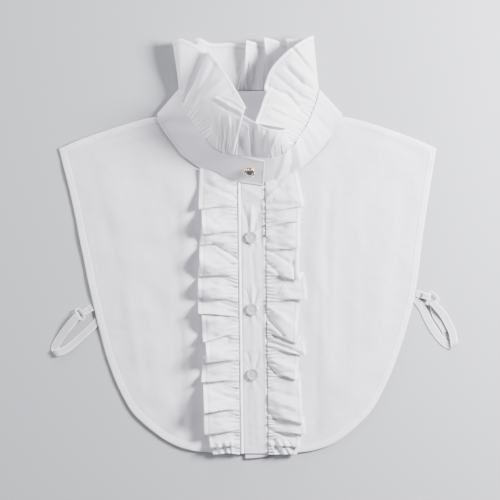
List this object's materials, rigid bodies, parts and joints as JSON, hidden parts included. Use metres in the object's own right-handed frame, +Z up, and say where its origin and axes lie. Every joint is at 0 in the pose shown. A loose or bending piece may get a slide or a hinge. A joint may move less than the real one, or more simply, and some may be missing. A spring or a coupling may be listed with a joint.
{
  "type": "ruffled collar",
  "caption": "Detachable bib collar laid flat: frilled stand collar, buttoned placket between gathered ruffles, and elastic side loops.",
  "frame": {"origin": "on the centre line, on the flat underside of the back, which rests on the surface, at the middle of the pictured view", "axes": "+Y from the hem to the collar, +X to the right as seen from above, +Z up off the surface it lies on"},
  "size_m": [0.3906, 0.4059, 0.0611],
  "materials": {
    "white_cotton": "matt plain weave",
    "white_trim": "matt fine plain weave",
    "white_elastic": "ribbed knitted elastic",
    "clear_plastic": "milky, half clear",
    "white_coated_wire": "white coated wire",
    "gold_metal": "polished",
    "polished_metal": "polished"
  },
  "bodies": {
    "root": {"back": "white_cotton", "front_left": "white_cotton", "front_right": "white_cotton", "under_placket": "white_cotton", "placket": "white_cotton", "collar_stand": "white_cotton", "collar_frill": "white_trim", "ruffle_left": "white_trim", "ruffle_right": "white_trim", "strap_tab_left": "white_elastic", "strap_left": "white_elastic", "strap_tab_right": "white_elastic", "strap_right": "white_elastic", "button_1": "clear_plastic", "button_2": "clear_plastic", "button_3": "clear_plastic", "neck_button_rim": "gold_metal", "neck_button_dome": "polished_metal", "strap_ring_left": "white_coated_wire", "strap_ring_right": "white_coated_wire"}
  },
  "joints": []
}
